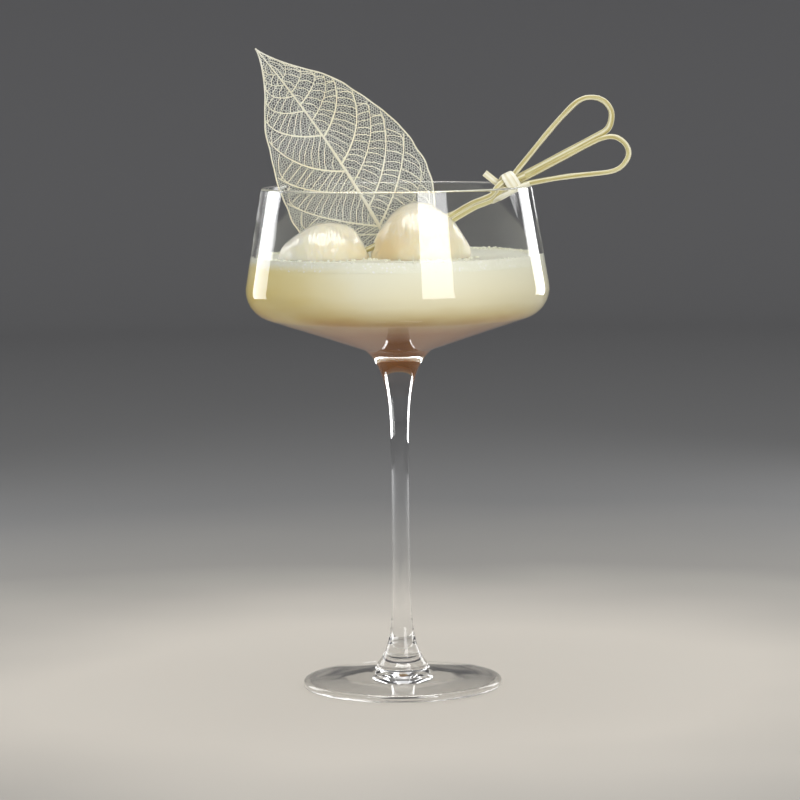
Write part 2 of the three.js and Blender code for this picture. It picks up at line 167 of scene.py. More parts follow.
# Fruit
STONE_SHARE = 0.42
STEM_END = math.radians(68)
LIP_ROUND = 1.6
LUMP_HEIGHT = 0.45
LUMPS = 1.7
BUMP_HEIGHT = 0.22
BUMPS = 4.2
CROWN = Vector((0, -0.72, 0.69))  # from a fruit's middle to its wrinkled, shiny part
CROWN_REACH = 0.62
WRINKLE_HEIGHT = 0.15
WRINKLES_ACROSS = 21
WRINKLES_UP = 3.2
PINCH_REACH = 2.6
WARM_SPOT = Vector((-3.5, -19.0, 144.5))  # where the flesh of the right fruit turns amber
WARM_REACH = 10.5
WARM_CORE = 3
FRUIT_SIDES = 400
# Each fruit's body, the seed of its lumps, how far the pick draws it in, and marks that swell or dent it:
# degrees up from the right, degrees to the front, height, reach in degrees
FRUITS = {
    "lychee_left": ("left_fruit", 3.1, 0.2, [
        (172, 0, 1.1, 16), (150, 0, 0.5, 14), (128, 0, -0.4, 16), (56, 0, 0.9, 16), (14, 0, 0.4, 14),
    ]),
    "lychee_right": ("right_fruit", 8.7, 1.6, [
        (95, 0, 0.6, 30), (140, 0, -1.2, 18), (32, 0, -1.3, 20), (3, 0, 0.3, 12), (170, 22, -1.5, 10),
    ]),
}

# Pick
FRUIT_SLIDE = next(joint for joint in frame["joints"] if joint["name"] == "right_fruit_slide")
PICK_ALONG = np.array(Vector(FRUIT_SLIDE["axis"]))
PICK_BACK = np.array([0, 1, 0])
PICK_ACROSS = np.array([-PICK_ALONG[2], 0, PICK_ALONG[0]])
KNOT_INSET = 3.3
KNOT_THICK = 0.5
SHAFT_RADIUS = 1.0
SHAFT_TOP = 2.7
TIP_LENGTH = 8
TIP_DEPTH = 6.5
TIP_POINT = 0.03  # share of the shaft's thickness that is left at its tip
STRIP_WIDTH = 2.2
STRIP_THICK = 1.55
STRIP_ROUND = 3.31  # half way round a strip
STRIP_FLANK = 0.87  # from its first corner to the middle of its cut flank
# A strip's thickness and width change along it by these shares
WANDER_LENGTH = 6
WANDER_THICK = 0.1
WANDER_WIDTH = 0.06
WANDER_SEED = 16
# Bound strands draw together while they come in front of the shaft; apart is half the way between them
STRAND_START = 1.5
STRAND_TURN = 2
STRAND_EASE = 6
KNOT_APART = 1.6
STRAND_APART = 0.78
STRAND_FRONT = 1.75
# How far the strands and the shaft lie across from the axis, (along, across) from the knot to the fruit
STRAND_SAG = [
    (2, -0.8), (-4, -0.85), (-7, -1.1), (-10, -2.5), (-13, -2.6), (-17, -2.35), (-25, -3.1), (-30, -3.7),
]
SHAFT_SAG = [(3, -0.8), (-4, -0.85), (-9, -2.0), (-17, -2.2), (-26, -2.2), (-45, -0.8), (-62, -0.8)]
# Inner ends of the loops, at most INNER_DROP below the axis, draw back from INNER_FROM above the knot down
INNER_DROP = 2.4
INNER_FROM = 7
INNER_BACK = 1.7
INNER_MOST = 1.4
# Middle lines of the loops, (along, across) from the knot
UPPER_LOOP = [
    (0.1, 1.3), (12.6, 7.3), (18.5, 10.0), (24.2, 12.3), (27.6, 13.4), (30.4, 13.6), (32.8, 12.9),
    (34.9, 11.6), (36.3, 9.6), (36.9, 7.0), (36.4, 4.7), (34.7, 2.3), (32.7, 1.1), (29.1, 0.75),
    (15.0, 0.15), (2.0, -0.45), (-1.4, -0.6),
]
UPPER_CREST = 7  # the upper loop is bent in two goes that meet at this point
LOWER_LOOP = [
    (-1.4, -1.8), (2.0, -1.65), (15.0, -1.05), (27.6, -0.5), (30.4, -0.7), (33.3, -1.4), (35.3, -3.0),
    (36.5, -5.5), (36.5, -8.0), (35.5, -9.8), (33.5, -11.2), (31.1, -11.9), (28.0, -11.6), (22.9, -9.9),
    (15.0, -7.1), (8.9, -5.3), (2.8, -3.7), (0.2, -3.3),
]
# How the strips are rolled about their length, in degrees at even steps from end to end
UPPER_ROLL = [4, 6, 10, 12, 10, 4, 8, 18, 22, 20]
LOWER_ROLL = [14, 10, -4, -12, -8, 4, 8, 8, 4]
# Route of the knot's band: along the pick, to the back, across, the way it faces in degrees, its width
KNOT_ROUTE = [
    (-8.9, 1.0, 5.5, 180, 2.2), (-7.3, 1.7, 2.2, 180, 2.2), (-5.6, 2.1, -1.0, 180, 2.4),
    (-4.0, 1.5, -3.6, 235, 3.0), (-3.0, -0.4, -4.3, 270, 3.8), (-2.0, -2.0, -3.0, 325, 4.2),
    (-2.2, -2.35, -0.6, 360, 4.4), (-2.5, -1.8, 1.4, 395, 4.2), (-2.8, -0.2, 2.4, 450, 3.4),
    (-4.0, 1.8, 1.2, 510, 2.8), (-7.2, 2.6, -1.2, 540, 2.4), (-9.6, 1.8, -3.6, 600, 2.2),
    (-10.1, -0.8, -4.5, 630, 2.2), (-9.2, -3.0, -3.9, 680, 2.0), (-6.4, -3.7, -3.7, 720, 1.7),
    (-2.4, -3.0, -3.6, 720, 1.4), (0.4, -2.6, -3.4, 720, 1.2), (2.8, -2.0, -3.7, 720, 1.0),
]
# Sections, in shares of half the thickness and half the width: a strip with eased corners, a round stick
EASED = [(1, 0.72), (0.45, 1), (-0.45, 1), (-1, 0.72), (-1, -0.72), (-0.45, -1), (0.45, -1), (1, -0.72)]
ROUND = [(math.cos(turn), math.sin(turn)) for turn in np.linspace(0, 2 * math.pi, 14, endpoint=False)]

# Leaf
LEAF_LEAN = 46.1
LEAF_RISE = 71.1
LEAF_BEND = 5.2
LEAF_HALF_WIDTH = 24
LEAF_SINK = 2.3
LEAF_BOW = 2
LEAF_OUT = np.array([0.0, -1.0, 0.0])  # the way its front faces
LEAF_FRONT = 0.55  # from the front of its solid back to the middle of its veins
LEAF_LEFT = 0.3  # from the left of its solid to its tip
LEAF_SEED = 11
BLADE_SWELL = 0.36
BLADE_FALL = 1.45
BLADE_SHOULDER = 0.12  # share by which the blade is fuller below its drawn-out tip
SHOULDER_AT = 0.75
SHOULDER_REACH = 0.1
RIPPLE_HEIGHT = 0.7
RIPPLE_ACROSS = 17
RIPPLE_UP = 23
RIPPLE_SEED = 4.5
# Side veins: where each leaves the midrib and where it meets the edge, as shares of the midrib; its weight
LEFT_VEINS = [
    (0.015, 0.16, 0.5), (0.06, 0.23, 0.5), (0.12, 0.305, 0.75), (0.156, 0.44, 1.0), (0.313, 0.546, 1.0),
    (0.407, 0.691, 1.0), (0.576, 0.76, 1.0), (0.693, 0.816, 0.8), (0.764, 0.86, 0.7), (0.82, 0.89, 0.6),
    (0.87, 0.925, 0.5),
]
RIGHT_VEINS = [
    (0.015, 0.14, 0.5), (0.07, 0.27, 0.5), (0.156, 0.424, 1.0), (0.24, 0.54, 1.0), (0.355, 0.6, 0.7),
    (0.44, 0.66, 1.0), (0.566, 0.735, 1.0), (0.645, 0.765, 0.6), (0.721, 0.79, 0.8), (0.78, 0.835, 0.6),
    (0.84, 0.89, 0.5),
]
LAST_VEIN = (0.92, 0.955, 0.5)
VEIN_ARCH = 0.4
VEIN_CURL = 2.2
VEIN_END = 0.97
# Veins are given by half their width and half their thickness
MIDRIB_TIP = 0.19
MIDRIB_SWELL = 0.5
MIDRIB_TAPER = 0.9
MIDRIB_THICK = 0.4
MARGIN_WIDTH = 0.24
MARGIN_THICK = 0.2
MARGIN_WAVE = 0.025
MARGIN_WAVES = 16
VEIN_WIDTHS = (0.36, 0.16)  # at the midrib and at the edge
VEIN_THICK = 0.24
# Cross veins, and the loops that join the side veins near the edge, at shares of the way to the edge
RUNG_STEP = 2.4
RUNG_LEAN = {-1: 0.3, 1: 0.18}  # how much nearer the midrib a cross vein meets the upper of its two veins
RUNG_FIRST = 0.6
RUNG_LAST = 0.96
RUNG_SHIFT = 0.12
RUNG_SLANT = 0.03
RUNG_BOW = 0.9
RUNG_WAVE = 0.18
RUNG_WIDTHS = (0.12, 0.17)
RUNG_THICK = 0.12
ARCH_FROM = 0.84
ARCH_TO = 0.8
ARCH_FOOT = 0.83
ARCH_BOW = 0.09
ARCH_WIDTH = 0.15
ARCH_THICK = 0.14
# Cells between the veinlets: their rows, scatter and reach past the edge are shares of their size
CELL_SIZE = 0.84
CELL_ROWS = 0.866
CELL_SCATTER = 0.36
CELL_PAST = 1.5
VEINLET_WIDTH = 0.19
VEINLET_THICK = 0.12
VEINLET_LEAST = 0.05
VEINLET_CORNERS = (math.pi / 2, math.pi * 7 / 6, math.pi * 11 / 6)

# Places that follow from the sizes above and from the frame
BELLY = (BELLY_RADIUS, GLASS_HEIGHT - BELLY_DROP)
RIM_CENTRE = GLASS_HEIGHT - LIP_WALL / 2
LEFT_FRUIT, LEFT_RADIUS = fruit_ball("lychee_left")
RIM_INSIDE = math.sqrt((RIM_RADIUS - RIM_WALL) ** 2 - LEFT_FRUIT[1] ** 2)
KNOT = LEFT_FRUIT + PICK_ALONG * (RIM_INSIDE - KNOT_INSET - LEFT_FRUIT[0]) / PICK_ALONG[0]
SHAFT_TIP = LEFT_RADIUS - TIP_DEPTH - np.linalg.norm(KNOT - LEFT_FRUIT)
LEAF_TIP = np.array([-LEAF_LEAN, LEAF_RISE])
LEAF_CONTROL = LEAF_TIP / 2 + LEAF_BEND * np.array([LEAF_RISE, LEAF_LEAN]) / np.hypot(LEAF_LEAN, LEAF_RISE)
LEAF_BASE = SURFACE - LEAF_SINK
LEAF_PLANE = box_mm("leaf")[0][1] + LEAF_FRONT
LEAF_BASE_X = box_mm("leaf")[0][0] + LEAF_LEAN + LEAF_LEFT


class Look:
    """A material whose nodes are added one at a time."""

    def __init__(self, name):
        self.material = bpy.data.materials.new(name)
        self.material.use_nodes = True
        self.tree = self.material.node_tree
        self.tree.nodes.clear()
        self.output = self.add("ShaderNodeOutputMaterial")

    def add(self, kind, sockets=None, **settings):
        node = self.tree.nodes.new(kind)
        for name, value in settings.items():
            setattr(node, name, value)
        for name, value in (sockets or {}).items():
            self.feed(node.inputs[name], value)
        return node

    def feed(self, socket, value):
        if isinstance(value, bpy.types.NodeSocket):
            self.tree.links.new(value, socket)
        else:
            socket.default_value = value

    def place(self):
        return self.add("ShaderNodeTexCoord").outputs["Object"]

    def stretched(self, vector, scale):
        return self.add("ShaderNodeMapping", {"Vector": vector, "Scale": scale}).outputs["Vector"]

    def axis(self, vector, name):
        return self.add("ShaderNodeSeparateXYZ", {"Vector": vector}).outputs[name]

    def distance(self, vector, point=(0.0, 0.0, 0.0)):
        return self.add("ShaderNodeVectorMath", {0: vector, 1: point}, operation="DISTANCE").outputs["Value"]

    def noise(self, vector, scale, detail=2.0, roughness=0.5):
        sockets = {"Vector": vector, "Scale": scale, "Detail": detail, "Roughness": roughness}
        return self.add("ShaderNodeTexNoise", sockets).outputs["Fac"]

    def cells(self, vector, scale):
        return self.add("ShaderNodeTexVoronoi", {"Vector": vector, "Scale": scale}).outputs["Distance"]

    def math(self, operation, first, second=0.0):
        return self.add("ShaderNodeMath", {0: first, 1: second}, operation=operation).outputs[0]

    def spread(self, value, low, high, to_low=0.0, to_high=1.0):
        """A value from low to high, spread over another range and kept inside it."""
        sockets = {"Value": value, "From Min": low, "From Max": high, "To Min": to_low, "To Max": to_high}
        return self.add("ShaderNodeMapRange", sockets).outputs["Result"]

    def vary(self, pattern, low, high):
        """A noise, which mostly lies from 0.3 to 0.7, spread over a range."""
        return self.spread(pattern, 0.3, 0.7, low, high)

    def ramp(self, factor, *stops):
        made = self.add("ShaderNodeValToRGB", {"Fac": factor})
        elements = made.color_ramp.elements
        while len(elements) < len(stops):
            elements.new(1.0)
        for element, (position, colour) in zip(elements, stops):
            element.position = position
            element.color = colour
        return made.outputs["Color"]

    def blend(self, factor, first, second, blend_type="MIX"):
        """Two colours blended; sockets 6 and 7 of the node take colours, and socket 2 gives one."""
        sockets = {"Factor": factor, 6: first, 7: second}
        return self.add("ShaderNodeMix", sockets, data_type="RGBA", blend_type=blend_type).outputs[2]

    def bump(self, height, distance, strength=1.0):
        sockets = {"Height": height, "Distance": distance, "Strength": strength}
        return self.add("ShaderNodeBump", sockets).outputs["Normal"]

    def principled(self, **sockets):
        return self.add("ShaderNodeBsdfPrincipled", {k.replace("_", " "): v for k, v in sockets.items()})

    def mix(self, factor, first, second):
        return self.add("ShaderNodeMixShader", {0: factor, 1: first.outputs[0], 2: second.outputs[0]})

    def finish(self, shader):
        self.tree.links.new(shader.outputs[0], self.output.inputs["Surface"])
        return self.material


def glass_look():
    """Slightly wavy glass, clear to lamps, to bounced light and to light that has turned often in it."""
    look = Look("clear_glass")
    waves = look.noise(look.place(), scale=90, detail=1.0)
    shader = look.principled(
        Base_Color=rgb(253, 253, 253),
        Roughness=0.0,
        IOR=1.5,
        Transmission_Weight=1.0,
        Normal=look.bump(waves, distance=0.00004),
    )
    clear = look.add("ShaderNodeBsdfTransparent", {"Color": (0.945, 0.945, 0.94, 1.0)})
    path = look.add("ShaderNodeLightPath").outputs
    late = look.math("GREATER_THAN", path["Ray Depth"], LATE_PATH)
    for let_out in (path["Is Shadow Ray"], path["Is Diffuse Ray"], late):
        shader = look.mix(let_out, shader, clear)
    return look.finish(shader)


def weld_look():
    """The fused face between two glass pieces, where nothing shows."""
    look = Look("glass_weld")
    return look.finish(look.add("ShaderNodeBsdfTransparent", {"Color": (1.0, 1.0, 1.0, 1.0)}))


def drink_swirl(look, place):
    return look.noise(look.stretched(place, (1.0, 1.0, 3.0)), scale=22, detail=3.0)


def painted_shade_aside(look, place, swirl, colour):
    """A colour of the drink with painted shade, a deeper amber, toward the left."""
    aside = look.math("ADD", look.axis(place, "X"), look.vary(swirl, -0.008, 0.008))
    # painted shade: the left side is multiplied toward amber
    return look.blend(look.spread(aside, -0.01, -0.05, 0.0, 0.8), colour, rgb(252, 230, 138), "MULTIPLY")


def drink_look():
    """A milky drink, turned amber and brown toward the bottom of the bowl by painted shade and a painted warm
    reflection from below, with more painted shade to the left.
    """
    look = Look("drink")
    place = look.place()
    swirl = drink_swirl(look, place)
    level = look.math("ADD", look.axis(place, "Z"), look.vary(swirl, -0.0016, 0.0016))
    # painted shade and painted warm reflection: the colour runs from milky at the surface to amber and brown
    # at the bottom
    colour = look.ramp(
        look.spread(level, PAINTED_SHADE_LEVEL * MM, SURFACE * MM),
        (0.0, rgb(130, 76, 16)),
        (0.16, rgb(146, 88, 20)),
        (0.27, rgb(162, 104, 34)),
        (0.36, rgb(190, 150, 88)),
        (0.46, rgb(219, 202, 152)),
        (0.56, rgb(234, 225, 188)),
        (1.0, MILKY),
    )
    return look.finish(look.principled(
        Base_Color=painted_shade_aside(look, place, swirl, colour),
        Roughness=look.spread(swirl, 0.2, 0.8, 0.32, 0.45),
        Specular_IOR_Level=0.1,
    ))


def froth_look():
    """Fine froth: small bubbles packed close, that thin out into the drink below."""
    look = Look("froth")
    place = look.place()
    fine = look.cells(place, scale=2600)
    coarse = look.cells(place, scale=950)
    patch = look.noise(place, scale=120, detail=3.0)
    film = look.blend(look.spread(coarse, 0.0, 0.6), rgb(250, 250, 238), rgb(240, 239, 218))
    film = look.blend(look.spread(patch, 0.35, 0.65), film, rgb(244, 244, 224))
    beads = look.math("MULTIPLY", look.spread(coarse, 0.3, 0.22), look.spread(patch, 0.45, 0.55))
    level = look.math("ADD", look.axis(place, "Z"), look.spread(coarse, 0.0, 0.8, -0.0005, 0.0005))
    # the drink seen under the thin froth carries the same painted shade to the left
    drink = painted_shade_aside(look, place, drink_swirl(look, place), MILKY)
    share = look.spread(level, (FROTH_FOOT + FROTH_THIN) * MM, (SURFACE - FROTH_FULL) * MM)
    return look.finish(look.principled(
        Base_Color=look.blend(beads, look.blend(share, drink, film), rgb(253, 252, 245)),
        Roughness=look.vary(patch, 0.35, 0.55),
        Specular_IOR_Level=0.2,
        Normal=look.bump(look.math("ADD", fine, coarse), distance=0.00012, strength=0.6),
    ))


def lychee_look():
    """Translucent flesh, warmer in places, with fine upright ridges and a wet shine on top."""
    look = Look("lychee_flesh")
    place = look.place()
    patch = look.noise(place, scale=34, detail=1.0)
    ridges = look.noise(look.stretched(place, (1.0, 1.0, 0.4)), scale=800, detail=1.0)
    dimple = look.noise(place, scale=170)
    upward = look.axis(look.add("ShaderNodeNewGeometry").outputs["Normal"], "Z")
    warmth = look.spread(look.distance(place, WARM_SPOT * MM), WARM_REACH * MM, WARM_CORE * MM, 0.0, 0.5)
    colour = look.blend(look.spread(patch, 0.4, 0.72), rgb(240, 235, 213), rgb(236, 223, 188))
    colour = look.blend(look.spread(ridges, 0.55, 0.95), colour, rgb(245, 242, 226))
    colour = look.blend(warmth, colour, rgb(228, 192, 124))
    return look.finish(look.principled(
        Base_Color=colour,
        Roughness=look.vary(ridges, 0.4, 0.52),
        Specular_IOR_Level=0.3,
        Normal=look.bump(dimple, distance=0.00025, strength=0.5),
        Subsurface_Weight=1.0,
        Subsurface_Radius=(0.95, 0.85, 0.6),
        Subsurface_Scale=0.006,
        Coat_Weight=look.spread(upward, 0.3, 0.6),
        Coat_Roughness=0.03,
    ))


def bamboo_look(name, pale, deep, edge):
    """Split bamboo: fibres along the strip in the pale edge colour, darker streaks, and a painted highlight
    that turns the eased corners to the same pale colour.
    """
    look = Look(name)
    along = look.add("ShaderNodeUVMap", uv_map="UVMap").outputs["UV"]
    fibre = look.noise(look.stretched(along, (0.02, 1.0, 1.0)), scale=7.0, detail=4.0, roughness=0.65)
    streak = look.noise(look.stretched(along, (0.05, 1.0, 1.0)), scale=1.3)
    girth = look.math("PINGPONG", look.axis(along, "Y"), STRIP_ROUND / 2)
    corner = look.math("ABSOLUTE", look.math("SUBTRACT", girth, STRIP_FLANK))
    colour = look.blend(look.spread(streak, 0.38, 0.62), pale, deep)
    colour = look.blend(look.spread(fibre, 0.52, 0.75), colour, edge)
    # painted highlight: away from the middle of the cut flank the strip is blended toward the pale edge colour
    colour = look.blend(look.spread(corner, 0.36, 0.6, 0.0, 0.8), colour, edge)
    return look.finish(look.principled(
        Base_Color=colour,
        Roughness=look.vary(fibre, 0.42, 0.62),
        Normal=look.bump(fibre, distance=0.00015, strength=0.8),
        Sheen_Weight=0.08,
    ))


def leaf_look(name, pale, deep):
    """Bleached veins that let some light through."""
    look = Look(name)
    place = look.place()
    patch = look.noise(place, scale=60, detail=3.0)
    fibre = look.noise(place, scale=1400)
    colour = look.blend(look.spread(patch, 0.35, 0.65), pale, deep)
    front = look.principled(
        Base_Color=colour,
        Roughness=look.vary(fibre, 0.55, 0.8),
        Normal=look.bump(fibre, distance=0.0001, strength=0.5),
    )
    glow = look.add("ShaderNodeBsdfTranslucent", {"Color": colour})
    return look.finish(look.mix(0.3, front, glow))


def stage_look():
    """A pale floor that falls off to grey as it turns up into the backdrop."""
    look = Look("stage")
    place = look.place()
    grain = look.vary(look.noise(place, scale=6), -FADE_GRAIN * MM, FADE_GRAIN * MM)
    away = look.math("ADD", look.distance(place), grain)
    colour = look.ramp(
        look.spread(away, 0.0, FADE_REACH * MM),
        (0.0, rgb(216, 211, 201)),
        (0.06, rgb(211, 205, 195)),
        (0.14, rgb(152, 150, 146)),
        (0.24, rgb(132, 132, 132)),
        (1.0, rgb(124, 124, 126)),
    )
    return look.finish(look.principled(Base_Color=colour, Roughness=0.85, Specular_IOR_Level=0.1))


def add_object(name, data):
    made = bpy.data.objects.new(name, data)
    bpy.context.scene.collection.objects.link(made)
    return made


def add_mesh(name, verts, faces, materials, slots=None, sharp=40, closed=True):
    """An object from points in millimetres, smooth but for edges sharper than an angle in degrees."""
    mesh = bpy.data.meshes.new(name)
    mesh.from_pydata((np.asarray(verts, float) * MM).tolist(), [], faces)
    for material in materials:
        mesh.materials.append(material)
    if slots is not None:
        mesh.polygons.foreach_set("material_index", slots)
    if closed:
        skin = bmesh.new()
        skin.from_mesh(mesh)
        bmesh.ops.recalc_face_normals(skin, faces=skin.faces)
        skin.to_mesh(mesh)
        skin.free()
    mesh.shade_smooth()
    mesh.set_sharp_from_angle(angle=math.radians(sharp))
    mesh.update()
    return add_object(name, mesh)


def piece(made, body, node):
    """A piece that rides on a body and stands for a node of the frame, which it hides."""
    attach(made, body)
    if node:
        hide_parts(node)


def arc(centre, radius, start, end, steps):
    angles = np.linspace(start, end, steps + 1)
    return np.column_stack([centre[0] + radius * np.cos(angles), centre[1] + radius * np.sin(angles)])


def bend(first, control, last, steps):
    """Points of a curve that leaves toward a control point and arrives from it."""
    at = np.linspace(0, 1, steps + 1)[:, None]
    return (1 - at) ** 2 * np.array(first) + 2 * at * (1 - at) * np.array(control) + at ** 2 * np.array(last)


def eased(steps):
    """Shares of a way from 0 to 1, closer together toward its ends."""
    return 0.5 - 0.5 * np.cos(np.linspace(0, math.pi, steps + 1))


def line(first, last, steps):
    """Points of a straight stretch."""
    at = eased(steps)[:, None]
    return (1 - at) * np.array(first) + at * np.array(last)


def joined(*stretches):
    """One run of points from stretches that each start where the one before ends."""
    return np.vstack([stretches[0], *(stretch[1:] for stretch in stretches[1:])])


def unit(vectors):
    return vectors / np.linalg.norm(vectors, axis=-1, keepdims=True)


def noise_at(spots):
    return np.array([noise.noise(Vector(spot)) for spot in spots])


def touch_angle(outside, centre, radius, turn):
    """Angle, seen from a circle's centre, of the point where a line from outside touches the circle."""
    away = np.array(outside) - np.array(centre)
    return math.atan2(away[1], away[0]) + turn * math.acos(radius / np.hypot(*away))


def lathe(profile, sides):
    """Points, faces and the band of each face of a body turned about Z from (radius, height) points."""
    verts, faces, bands, rings = [], [], [], []
    on_axis = 1e-6
    turns = np.linspace(0, 2 * math.pi, sides, endpoint=False)
    for radius, height in profile:
        if radius < on_axis:
            rings.append([len(verts)] * sides)
            verts.append((0.0, 0.0, height))
        else:
            rings.append(list(range(len(verts), len(verts) + sides)))
            verts += [(radius * math.cos(t), radius * math.sin(t), height) for t in turns]
    for band, (low, high) in enumerate(zip(rings, rings[1:])):
        for i in range(sides):
            j = (i + 1) % sides
            faces.append(list(dict.fromkeys((low[i], low[j], high[j], high[i]))))
            bands.append(band)
    return verts, faces, bands


def tube_faces(rings, sides, start=0):
    """Faces of a tube of rings of points that follow on from a start, with its end caps."""
    last = start + sides * (rings - 1)
    faces = []
    for ring in range(start, last, sides):
        for k in range(sides):
            a, b = ring + k, ring + (k + 1) % sides
            faces.append((a, b, b + sides, a + sides))
    faces.append(tuple(range(start, start + sides))[::-1])
    faces.append(tuple(range(last, last + sides)))
    return faces


def belly_arc(cone, rim, radius, steps):
    """The round of the belly, between the cone and the wall."""
    start = touch_angle(cone, BELLY, radius, 1)
    end = touch_angle(rim, BELLY, radius, -1)
    return arc(BELLY, radius, start, end, steps)


def hollow_outline(inset, top):
    """Half of the hollow's outline: from its lowest point, up the cone, round the belly, up the wall."""
    lowest = GLASS_HEIGHT - HOLLOW_DROP + inset
    cone = (HOLLOW_FLAT, lowest + HOLLOW_DISH)
    rim = (RIM_RADIUS - LIP_WALL - inset, RIM_CENTRE)
    belly = belly_arc(cone, rim, BELLY_ROUND - BELLY_WALL - inset, steps=28)
    share = (top - belly[-1][1]) / (rim[1] - belly[-1][1])
    wall_top = belly[-1] + share * (np.array(rim) - belly[-1])
    floor = bend((0, lowest), (HOLLOW_FLAT / 2, lowest), cone, steps=10)
    return joined(floor, line(cone, belly[0], steps=14), belly, line(belly[-1], wall_top, steps=24))


def turned_piece(name, node, outline, sides, looks, welds=()):
    """A piece turned from an outline, whose bands at the welds have the second look."""
    verts, faces, bands = lathe(outline, sides)
    made = add_mesh(name, verts, faces, looks, [int(band in welds) for band in bands])
    piece(made, "glass", node)


def make_bowl(looks):
    foot = (WELD_RADIUS, UPPER_WELD)
    cone = (CONE_START, GLASS_HEIGHT - CONE_DROP)
    rim = (RIM_RADIUS, RIM_CENTRE)
    belly = belly_arc(cone, rim, BELLY_ROUND, steps=32)
    flare = bend(foot, ((WELD_RADIUS + CONE_START) / 2, cone[1] - CONE_EASE), cone, steps=14)
    wall = np.array(rim) - belly[-1]
    leave = math.atan2(-wall[0], wall[1])  # square to the wall
    lip = arc((RIM_RADIUS - LIP_WALL / 2, RIM_CENTRE), LIP_WALL / 2, leave, math.pi + leave, steps=16)
    inside = hollow_outline(0, RIM_CENTRE)[::-1]
    outline = joined(
        line((0, UPPER_WELD), foot, steps=1), flare, line(cone, belly[0], steps=14), belly,
        line(belly[-1], lip[0], steps=24), lip, inside[1:],
    )
    turned_piece("bowl_clear", "bowl", outline, GLASS_SIDES, looks, welds=[0])


def make_stem(looks):
    heights = COLLAR_HEIGHT + (UPPER_WELD - COLLAR_HEIGHT) * eased(steps=70)
    swell = WELD_RADIUS - STEM_WAIST
    upper = swell * np.exp((heights - UPPER_WELD) / UPPER_FLARE)
    lower = swell * np.exp((COLLAR_HEIGHT - heights) / LOWER_FLARE)
    side = np.column_stack([STEM_WAIST + upper + lower, heights])
    outline = np.vstack([(0, COLLAR_HEIGHT), side, (0, UPPER_WELD)])
    welds = [0, len(outline) - 2]
    turned_piece("stem_clear", "stem", outline, STEM_SIDES, looks, welds)


def make_foot(looks):
    """The foot: hollow below, round at the edge, rising to its collar."""
    edge = FOOT_RADIUS - FOOT_ROUND
    ring = FOOT_RADIUS - FOOT_RING
    collar = WELD_RADIUS + COLLAR_HEIGHT - FOOT_CROWN
    middle = ((edge + collar) / 2, (FOOT_EDGE + FOOT_CROWN) / 2 - FOOT_SAG)
    outline = joined(
        bend((0, FOOT_HOLLOW), (ring / 2, FOOT_HOLLOW), (ring, 0), steps=24),
        line((ring, 0), (edge, 0), steps=4),
        arc((edge, FOOT_ROUND), FOOT_ROUND, -math.pi / 2, 0, steps=8),
        line((FOOT_RADIUS, FOOT_ROUND), (FOOT_RADIUS, FOOT_EDGE - FOOT_ROUND), steps=1),
        arc((edge, FOOT_EDGE - FOOT_ROUND), FOOT_ROUND, 0, math.pi / 2, steps=8),
        bend((edge, FOOT_EDGE), middle, (collar, FOOT_CROWN), steps=24),
        bend((collar, FOOT_CROWN), (WELD_RADIUS, FOOT_CROWN), (WELD_RADIUS, COLLAR_HEIGHT), steps=10),
        line((WELD_RADIUS, COLLAR_HEIGHT), (0, COLLAR_HEIGHT), steps=1),
    )
    turned_piece("foot_clear", "foot", outline, GLASS_SIDES, looks, [len(outline) - 2])


def make_drink(look):
    side = hollow_outline(-WETTING, FROTH_FOOT + WETTING)
    outline = joined(side, line(side[-1], (0, FROTH_FOOT + WETTING), steps=6))
    turned_piece("drink_body", "drink", outline, DRINK_SIDES, [look])


def meniscus(inward):
    """Rise of the drink at a share of the meniscus's reach inward from the glass."""
    return MENISCUS_RISE * (1 - inward) ** MENISCUS_CURVE


def make_froth(look):
    """The top of the drink, with a meniscus that climbs the glass."""
    low = hollow_outline(-WETTING, FROTH_FOOT)[-1]
    high = hollow_outline(-WETTING, SURFACE + MENISCUS_RISE)[-1]
    inward = np.linspace(0, 1, 9)[1:, None] ** 1.5
    climb = high - inward * (MENISCUS_REACH, 0)
    climb[:, 1] = SURFACE + meniscus(inward[:, 0])
    outline = joined(
        line((0, low[1]), low, steps=4), line(low, high, steps=6), np.vstack([high, climb]),
        line(climb[-1], (0, SURFACE), steps=24),
    )
    turned_piece("froth_top", "froth", outline, DRINK_SIDES, [look])


def bubble_places(wall):
    """Places and sizes of bubbles along the glass and in front of the fruit, none deep in another."""
    draw = random.Random(BUBBLE_SEED)
    places = []
    for _ in range(GLASS_BUBBLES):
        size = draw.uniform(*GLASS_BUBBLE_SIZES)
        turn = draw.uniform(0, 2 * math.pi)
        inset = abs(draw.gauss(0, GLASS_BUBBLE_SPREAD)) + GLASS_BUBBLE_GAP * size
        places.append(((wall - inset) * math.cos(turn), (wall - inset) * math.sin(turn), size))
    for node, count in FRUIT_BUBBLES.items():
        middle, radius = fruit_ball(node)
        for _ in range(count):
            turn = draw.uniform(-math.pi, 0)
            reach = radius + abs(draw.gauss(0, FRUIT_BUBBLE_SPREAD)) - FRUIT_BUBBLE_SINK
            size = draw.uniform(*FRUIT_BUBBLE_SIZES)
            places.append((middle[0] + reach * math.cos(turn), middle[1] + reach * math.sin(turn), size))
    apart = []
    for x, y, size in places:
        if all(math.hypot(x - a, y - b) > BUBBLE_APART * (size + c) for a, b, c in apart):
            apart.append((x, y, size))
    return apart


